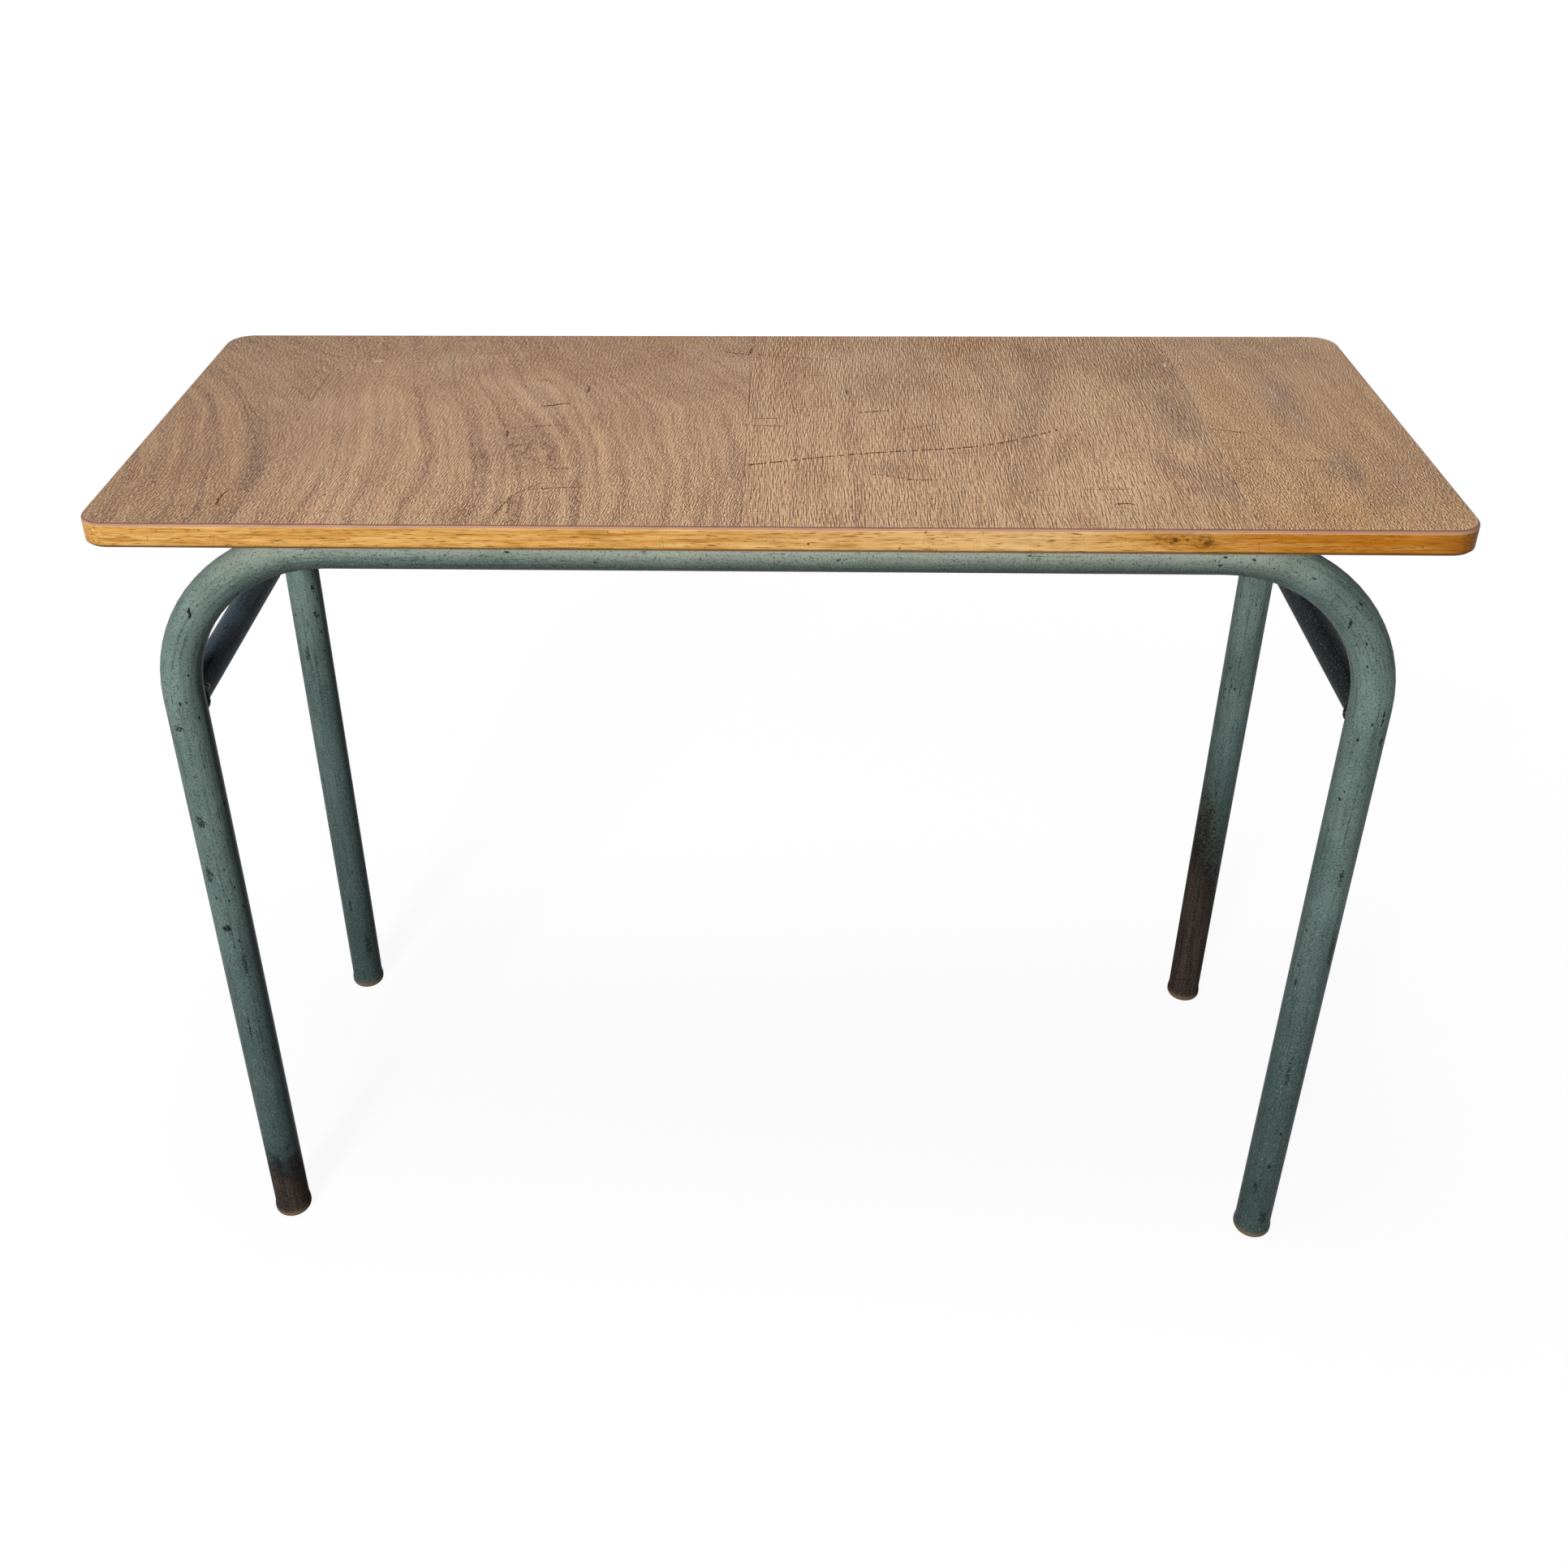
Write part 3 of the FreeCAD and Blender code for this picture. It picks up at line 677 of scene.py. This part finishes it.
# %% [markdown]
# ## Enamel on the tubes
# The frame is steel tube under grey-green stove enamel: satin, finely pitted, scratched along its length
# and chipped to dark metal. A pattern in plain space would run across a tube where it bends, so the
# finish first works out where a point is on the straightened tube. Beyond the bend's centre both ways
# at once is the bend, where the angle about that centre is the way along.

# %% Straightened tube
BEND_X, BEND_Z, BEND_R = 330.0, 584.0, 130.0
HALF_SHIFT_MM = 2000.0


def straightened(tree, x, y, z):
    """(way along, offset within the arch's plane, y) of a point on an arch: along = z up to the bend, plus R
    times the angle in the bend, plus the run towards the middle. Each half is moved 2 m to its own side."""
    side = add(tree, "Math ABSOLUTE", x)
    out = add(tree, "Math MAXIMUM", add(tree, "Math SUBTRACT", side, BEND_X), 0.0)
    rise = add(tree, "Math MAXIMUM", add(tree, "Math SUBTRACT", z, BEND_Z), 0.0)
    angle = add(tree, "Math ARCTAN2", rise, out)
    along = add(tree, "Math MULTIPLY_ADD", angle, BEND_R, add(tree, "Math MINIMUM", z, BEND_Z))
    run = add(tree, "Math SUBTRACT", BEND_X, add(tree, "Math MINIMUM", side, BEND_X))
    along = add(tree, "Math ADD", along, run)
    along = add(tree, "Math MULTIPLY_ADD", add(tree, "Math SIGN", x), HALF_SHIFT_MM, along)
    reach = add(tree, "VectorMath LENGTH", add(tree, "CombineXYZ", out, rise))
    return add(tree, "CombineXYZ", along, add(tree, "Math SUBTRACT", reach, BEND_R), y)


# %% Enamel
def enamel_finish(name, tones, straight_bar=False, chips=(), bare=(), run_dust_and_painted_light=False):
    """Stove enamel with pits, streaks and chips. tones are two that mix in clouds, that of the lower legs, and
    that of the foot and the streaks; the darker tones towards the floor are painted shade. chips are (centre,
    radii, amount). bare are (leg's x and y, height below which the paint is gone, height where the first
    specks show, slant of the edge, colour of the stain)."""
    finish, tree, shader, place = start_finish(name, 0.02)
    x, y, z = (add(tree, "SeparateXYZ", place, out=axis) for axis in (0, 1, 2))
    tube = add(tree, "CombineXYZ", y, x, z) if straight_bar else straightened(tree, x, y, z)
    cloud = mottle(tree, "3D", place, (45, 45, 70), 3.0)
    streak = mottle(tree, "3D", tube, (70, 2.6, 2.6), 3.0, 0.6)
    # Real pits are near a third of a millimetre; they are drawn about four times as coarse so that they show
    pits = add(tree, "TexNoise 3D", place, 1 / 1.4, 2.0, 0.6)
    ragged = add(tree, "TexNoise 3D", place, 1 / 2.2, 4.0, 0.7)

    colour = add(tree, "Mix RGBA", add(tree, STEP, cloud, 0.3, 0.7), tones[1], tones[0])
    # Darker towards the floor: painted shade on the lower legs and feet
    colour = tint(tree, colour, tones[2], z, 590.0, 200.0, 0.66)
    colour = tint(tree, colour, tones[3], z, 330.0, 0.0, 0.55)
    colour = tint(tree, colour, tones[3], streak, 0.48, 0.72, 0.55)
    if run_dust_and_painted_light:
        # Pale dust, partly a painted highlight, lies on the outer side of the run and of the left bend, and a
        # painted shade darkens the inner side
        outward = add(tree, "SeparateXYZ", tube, out=1)
        run_and_left_bend = add(tree, STEP, x, -452.0, -350.0)
        run_and_left_bend = add(tree, "Math MULTIPLY", run_and_left_bend, add(tree, STEP, x, 410.0, 335.0))
        # The pale dust and painted highlight reach further down the run's front than on the bend
        dust_and_highlight_level = add(tree, "Math MULTIPLY_ADD", add(tree, STEP, x, -250.0, -50.0), 5.0, outward)
        # Pale dust with a painted highlight on the upper side
        dust_and_highlight = add(tree, "Math MULTIPLY", run_and_left_bend, add(tree, RAMP, dust_and_highlight_level, -5.0, 11.0, 0.0, 0.8))
        dust_and_highlight = add(tree, "Math MULTIPLY", dust_and_highlight, add(tree, STEP, streak, 0.30, 0.55, 0.65, 1.0))
        colour = add(tree, "Mix RGBA", dust_and_highlight, colour, "AFB3A2")
        # Painted shade on the underside of the run and the inner side of the left bend
        painted_shade = add(tree, "Math MULTIPLY", run_and_left_bend, add(tree, RAMP, outward, 3.0, -13.0, 0.0, 0.9))
        colour = add(tree, "Mix RGBA", painted_shade, colour, "3A403B")
    colour = tint(tree, colour, "2B3533", pits, 0.54, 0.69, 0.68)
    colour = tint(tree, colour, "A2B0A6", pits, 0.44, 0.28, 0.42)

    # Pinholes: a dark point in some cells of four millimetres
    colour = add(tree, "Mix RGBA", scattered(tree, place, 4.0, 0.18, 0.09, 0.68, 0.74), colour, "262B28")

    # Chips: cells drawn out along the tube, kept where a broad noise says that it was knocked
    knocks = add(tree, STEP, add(tree, "TexNoise 3D", place, 1 / 42.0, 2.0), 0.42, 0.60)
    flakes = add(tree, "Mapping TEXTURE", tube, None, None, (15.0, 6.0, 6.0))
    away = add(tree, "Math MULTIPLY_ADD", ragged, 0.22, add(tree, "TexVoronoi F1", flakes, 1.0))
    chance = add(tree, "TexVoronoi F1", flakes, 1.0, out=1)
    worn = add(tree, STEP, away, 0.29, 0.21)
    worn = add(tree, "Math MULTIPLY", worn, add(tree, RAMP, chance, 0.40, 0.50))
    worn = add(tree, "Math MULTIPLY", worn, knocks)
    # Hair scratches along the tube
    hair = mottle(tree, "3D", tube, (24, 0.7, 0.7), 1.0)
    scratched = add(tree, STEP, hair, 0.67, 0.74, 0.0, 0.8)
    scratched = add(tree, "Math MULTIPLY", scratched, add(tree, "Math MAXIMUM", knocks, 0.35))
    worn = add(tree, "Math MAXIMUM", worn, scratched)
    for centre, radii, amount in chips:
        spot = patch(tree, place, centre, radii)
        spot = add(tree, "Math MULTIPLY_ADD", spot, 0.36, ragged)
        worn = add(tree, "Math MAXIMUM", worn, add(tree, STEP, spot, 0.76, 0.84, 0.0, amount))
    colour = add(tree, "Mix RGBA", worn, colour, "22231F")

    blotch = add(tree, "TexNoise 3D", place, 1 / 13.0, 2.0)
    # Leg ends where the paint has gone: a stained edge, specks above it, bare brown steel below
    for corner, gone, first, slant, stained in bare:
        leg = patch(tree, place, (*corner, 0), (60, 60, 90000), 0.0, 0.8)
        edge = z
        for pattern, reach in ((ragged, 14.0), (streak, 12.0), (blotch, 16.0)):
            edge = shaken(tree, edge, pattern, reach)
        edge = add(tree, "Math MULTIPLY_ADD", add(tree, "Math SUBTRACT", x, corner[0]), slant, edge)
        stain = add(tree, "Math MULTIPLY", add(tree, STEP, edge, first, gone, 0.0, 0.88), leg)
        colour = add(tree, "Mix RGBA", stain, colour, stained)
        speck = add(tree, "Math ADD", ragged, add(tree, RAMP, edge, gone, first, 0.16, -0.06))
        speck = add(tree, "Math MULTIPLY", add(tree, STEP, speck, 0.57, 0.67, 0.0, 0.9), leg)
        colour = add(tree, "Mix RGBA", speck, colour, "211B18")
        lost = add(tree, "Math MULTIPLY", add(tree, STEP, edge, gone + 24.0, gone - 20.0), leg)
        mottled = add(tree, STEP, add(tree, "Math ADD", pits, streak), 0.80, 1.20)
        steel = add(tree, "Mix RGBA", mottled, "28211F", "544842")
        colour = add(tree, "Mix RGBA", add(tree, "Math MULTIPLY", lost, 0.92), colour, steel)
        worn = add(tree, "Math MAXIMUM", worn, add(tree, "Math MAXIMUM", lost, speck))
    # A pale rubbed rim where the foot scrapes the floor
    colour = tint(tree, colour, "8F7559", shaken(tree, z, ragged, 1.5), 12.0, 6.0, 0.75)

    height = add(tree, "Math SUBTRACT", add(tree, "Math MULTIPLY", pits, -0.5), worn)
    finish_surface(tree, shader, colour, height, 0.12, add(tree, RAMP, worn, 0.0, 1.0, 0.40, 0.7))
    return finish


# %% Enamel of the two arches and the crossbars
# The greens go darker towards the foot as painted shade
GREENS = ("7F938C", "677A74", "405452", "32413F")
# The crossbars' enamel is drawn in darker, bluer colours than the arches' as painted shade, for they lie under the
# top; the right bar's are darker still
SHADED_GREY_BLUES = ("566671", "44535F", "44535F", "2B353D")
SHADED_NEAR_BLACKS = ("24292C", "1C2023", "1C2023", "141719")
front_chips = [
    ((-436, -180, 665), (3, 8, 10), 1.0), ((-448, -180, 609), (2.4, 8, 3.4), 1.0),
    ((-464, -180, 562), (7, 8, 7), 0.9), ((-463, -180, 472), (9, 8, 15), 0.8),
    ((-466, -180, 417), (8, 8, 16), 0.8), ((-460, -180, 360), (8, 8, 8), 1.0),
    ((-459, -180, 250), (1.4, 8, 40), 1.0), ((466, -179, 583), (2, 8, 19), 1.0),
    ((469, -178, 560), (2.4, 8, 10), 1.0), ((448, -176, 505), (2.4, 8, 3.4), 1.0),
    ((50, -180, 714), (3, 8, 2), 0.8), ((348, -180, 716), (3.4, 8, 1.8), 0.9),
    ((426, -180, 664), (2.4, 8, 10), 0.9), ((451, -178, 68), (4, 8, 14), 0.8), ((463, -179, 30), (7, 8, 16), 0.8),
    ((447, -178, 96), (3, 8, 9), 1.0), ((458, -180, 98), (3.4, 8, 4), 1.0), ((462, -180, 140), (2.4, 8, 5), 1.0),
    ((456, -180, 215), (4, 8, 34), 0.7), ((470, -178, 350), (5, 8, 40), 0.7), ((-452, -179, 320), (4, 8, 26), 0.7),
    ((447, -176, 314), (1.8, 8, 12), 1.0), ((462, -180, 430), (4, 8, 18), 0.8),
]
rear_chips = [
    ((-447, 150, 566), (3, 8, 5), 0.9), ((-447, 150, 546), (3, 8, 7), 1.0), ((-448, 150, 512), (4, 8, 11), 1.0),
    ((-449, 150, 484), (4.5, 8, 11), 1.0), ((-446, 152, 441), (3, 8, 8), 1.0), ((-463, 148, 440), (5, 8, 18), 0.7),
    ((-450, 150, 60), (7, 9, 40), 0.7), ((-462, 148, 120), (2, 8, 22), 0.9), ((452, 150, 240), (12, 10, 60), 0.6),
]
front_bare = [((-460, -164), 60, 108, 0.3, "1A242C")]
rear_bare = [((460, 164), 158, 325, 2.8, "35322B")]
front_enamel = enamel_finish("sage_stove_enamel_front", GREENS, False, front_chips, front_bare, run_dust_and_painted_light=True)
rear_enamel = enamel_finish("sage_stove_enamel_rear", GREENS, False, rear_chips, rear_bare)
left_bar_shaded_enamel = enamel_finish("shaded_stove_enamel_left_bar", SHADED_GREY_BLUES, straight_bar=True)
right_bar_shaded_enamel = enamel_finish("shaded_stove_enamel_right_bar", SHADED_NEAR_BLACKS, straight_bar=True)
give_finish(front_enamel, "front_arch_tube")
give_finish(rear_enamel, "rear_arch_tube")
give_finish(left_bar_shaded_enamel, "left_crossbar")
give_finish(right_bar_shaded_enamel, "right_crossbar")

# %% [markdown]
# ## Meshes from arrays
# A new piece is a grid of points, worked out as whole arrays in millimetres. One function turns such a
# grid into a mesh: neighbours in rows and columns make the faces, and either way may close on itself.

# %% Grid to mesh
def grid_piece(name, points, close_rows, close_columns, finish):
    """Mesh piece from an array (rows, columns, 3) in millimetres. Points that coincide, as at a pole, merge."""
    rows, columns = points.shape[:2]
    number = np.arange(rows * columns).reshape(rows, columns)
    row_step = np.roll(number, -1, axis=0)[:rows if close_rows else rows - 1]
    here = number[:len(row_step)]
    faces = np.stack([here, row_step, np.roll(row_step, -1, axis=1), np.roll(here, -1, axis=1)], axis=-1)
    if not close_columns:
        faces = faces[:, :-1]
    mesh = bpy.data.meshes.new(name)
    mesh.from_pydata((points.reshape(-1, 3) / MM_PER_METRE).tolist(), [], faces.reshape(-1, 4).tolist())
    shape = bmesh.new()
    shape.from_mesh(mesh)
    bmesh.ops.remove_doubles(shape, verts=shape.verts, dist=1e-6)
    bmesh.ops.recalc_face_normals(shape, faces=shape.faces)
    shape.to_mesh(mesh)
    shape.free()
    mesh.shade_smooth()
    mesh.materials.append(finish)
    piece = bpy.data.objects.new(name, mesh)
    bpy.context.scene.collection.objects.link(piece)
    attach(piece, "root")
    return piece


# %% [markdown]
# ## Weld beads
# Each crossbar end is cut to sit on the round of a leg and welded all round. A hand weld is a row of
# small overlapping pools, which leave ripples. The seam is where the bar's round meets the leg's round,
# and a ring is carried along it whose radius swells and sinks once for each pool.

# %% Rippled weld
LEG_X, LEG_Y, BAR_Z, TUBE_R, BAR_R = 460.0, 164.0, 574.0, 16.0, 12.5


def weld_ring(side, depth, radius=3.1, pools=26):
    """Ring round the seam: its centre at angle a is (bar radius cos a, leg surface, bar radius sin a). At the
    section's angle b its radius is radius (0.94 + 0.12 |sin(pools a / 2 + 0.5 cos b)|), for the pools, times
    1 + 0.06 sin(3 a + side) sin(5 a + depth), for an unsteady hand."""
    a = np.linspace(0, 2 * np.pi, pools * 8, endpoint=False)[:, None]
    b = np.linspace(0, 2 * np.pi, 16, endpoint=False)[None, :]
    size = radius * (0.94 + 0.12 * np.abs(np.sin(pools * a / 2 + 0.5 * np.cos(b))))
    size = size * (1 + 0.06 * np.sin(3 * a + side) * np.sin(5 * a + depth))
    offset = BAR_R * np.cos(a)
    seam = LEG_Y - np.sqrt(TUBE_R ** 2 - offset ** 2)
    x = side * LEG_X + (BAR_R + size * np.cos(b)) * np.cos(a)
    y = depth * (seam - size * np.sin(b))
    z = BAR_Z + (BAR_R + size * np.cos(b)) * np.sin(a)
    return np.stack([x, y, z], axis=-1)


# The weld beads take the crossbars' enamel, with its painted shade
for side, side_name, finish in ((-1, "left", left_bar_shaded_enamel), (1, "right", right_bar_shaded_enamel)):
    for depth, depth_name in ((-1, "front"), (1, "rear")):
        node_name = "%s_%s_weld_bead" % (depth_name, side_name)
        bead = grid_piece(node_name + "_rippled", weld_ring(side, depth), True, True, finish)
        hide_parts(node_name)
        print(bead.name, "faces", len(bead.data.polygons))

# %% [markdown]
# ## Feet
# Each leg stands on a turned metal foot whose stem is pressed into the tube. It is a profile carried
# round an axis: flat where it stands, a soft round at its edge, and a flank that closes on the tube.

# %% Turned foot
FLAT_R, EDGE_ROUND, FOOT_R, FOOT_TAPER, FOOT_TOP = 8.5, 5.5, 16.9, 0.8, 14.0
STEM_R, STEM_END_R, STEM_BORE_R, STEM_TOP = 14.35, 13.35, 10.85, 38.0


def foot_profile():
    """Radius and height of the foot: from the floor's middle, round its edge, up its flank, over its stem."""
    a = np.linspace(0, np.pi / 2, 14)
    edge = np.column_stack([11.4 + EDGE_ROUND * np.sin(a), 1.2 + EDGE_ROUND * (1 - np.cos(a))])
    flank = np.column_stack([FOOT_R - FOOT_TAPER * np.linspace(0, 1, 6) ** 2, np.linspace(7.4, FOOT_TOP, 6)])
    stem = [(STEM_R, FOOT_TOP), (14.3, 15.0), (STEM_END_R, STEM_TOP), (STEM_BORE_R, STEM_TOP)]
    bore = [(STEM_BORE_R, FOOT_TOP), (0.0, FOOT_TOP)]
    return np.vstack([[(0.0, 0.0), (FLAT_R, 0.0)], edge, flank, stem, bore])


def turned_piece(profile, centre, turns=64):
    """Carries a profile round a vertical axis: x = r cos a, y = r sin a, z = height."""
    a = np.linspace(0, 2 * np.pi, turns, endpoint=False)[None, :]
    radius, height = profile[:, :1], profile[:, 1:]
    x, y = centre[0] + radius * np.cos(a), centre[1] + radius * np.sin(a)
    return np.stack([x, y, height + 0 * a], axis=-1)


for side, side_name in ((-1, "left"), (1, "right")):
    for depth, depth_name, finish in ((-1, "front", front_enamel), (1, "rear", rear_enamel)):
        node_name = "%s_%s_glide" % (depth_name, side_name)
        shape = turned_piece(foot_profile(), (side * LEG_X, depth * LEG_Y))
        foot = grid_piece(node_name + "_turned", shape, False, True, finish)
        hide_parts(node_name)
        print(foot.name, "faces", len(foot.data.polygons))

# %% [markdown]
# ## A paint drip and a spatter of weld
# Two small signs of how the frame was made: enamel that ran together inside the front left bend before
# it was baked, and a bead of weld metal that stuck to the crossbar. Both are little swollen domes.

# %% Drops
def drop(centre, radii, rows=12, columns=20):
    """Ellipsoid with a slightly lumpy skin: radii times (L cos v cos u, L cos v sin u, sin v), with the lumps
    L = 1 + 0.08 sin 3u cos 2v cos v."""
    v = np.linspace(-np.pi / 2, np.pi / 2, rows)[:, None]
    u = np.linspace(0, 2 * np.pi, columns, endpoint=False)[None, :]
    lump = 1 + 0.08 * np.sin(3 * u) * np.cos(2 * v) * np.cos(v)
    level = np.cos(v) * lump
    ball = np.stack([level * np.cos(u), level * np.sin(u), np.sin(v) + 0 * u], axis=-1)
    return np.array(centre) + ball * np.array(radii)


drip = grid_piece("paint_drip", drop((-427.5, -169, 657), (3.2, 2.4, 4.0)), False, True, front_enamel)

# Weld metal that the enamel did not cover: warm grey, slightly rusted
spatter_metal, tree, shader, place = start_finish("rusted_weld_metal", 0.3)
rust = add(tree, "TexNoise 3D", place, 1 / 1.5, 3.0)
tan = add(tree, "ValToRGB", rust, stops=[(0.35, "6B5636"), (0.65, "A48B5E")])
finish_surface(tree, shader, tan, rust, 0.2, add(tree, RAMP, rust, *NOISE_RANGE, 0.45, 0.7))
spatter = grid_piece("weld_spatter", drop((-448.2, -145, 580.2), (2.4, 2.6, 2.6)), False, True, spatter_metal)

# %% [markdown]
# ## Screws
# The screw heads sit inside the tubes, seen from below through their access holes. They are plain
# zinced steel, dulled by age: a metal, with tarnish that makes it darker and rougher in spots.

# %% Screw steel
screw_steel, tree, shader, place = start_finish("dull_zinc_steel", 0.5, 1.0)
tarnish = add(tree, "TexNoise 3D", place, 1 / 2.0, 3.0)
grey = add(tree, "ValToRGB", tarnish, stops=[(0.35, "57524B"), (0.65, "8C877E")])
finish_surface(tree, shader, grey, tarnish, 0.1, add(tree, RAMP, tarnish, *NOISE_RANGE, 0.6, 0.4))
give_finish(screw_steel, "front_tube_screws", "rear_tube_screws")
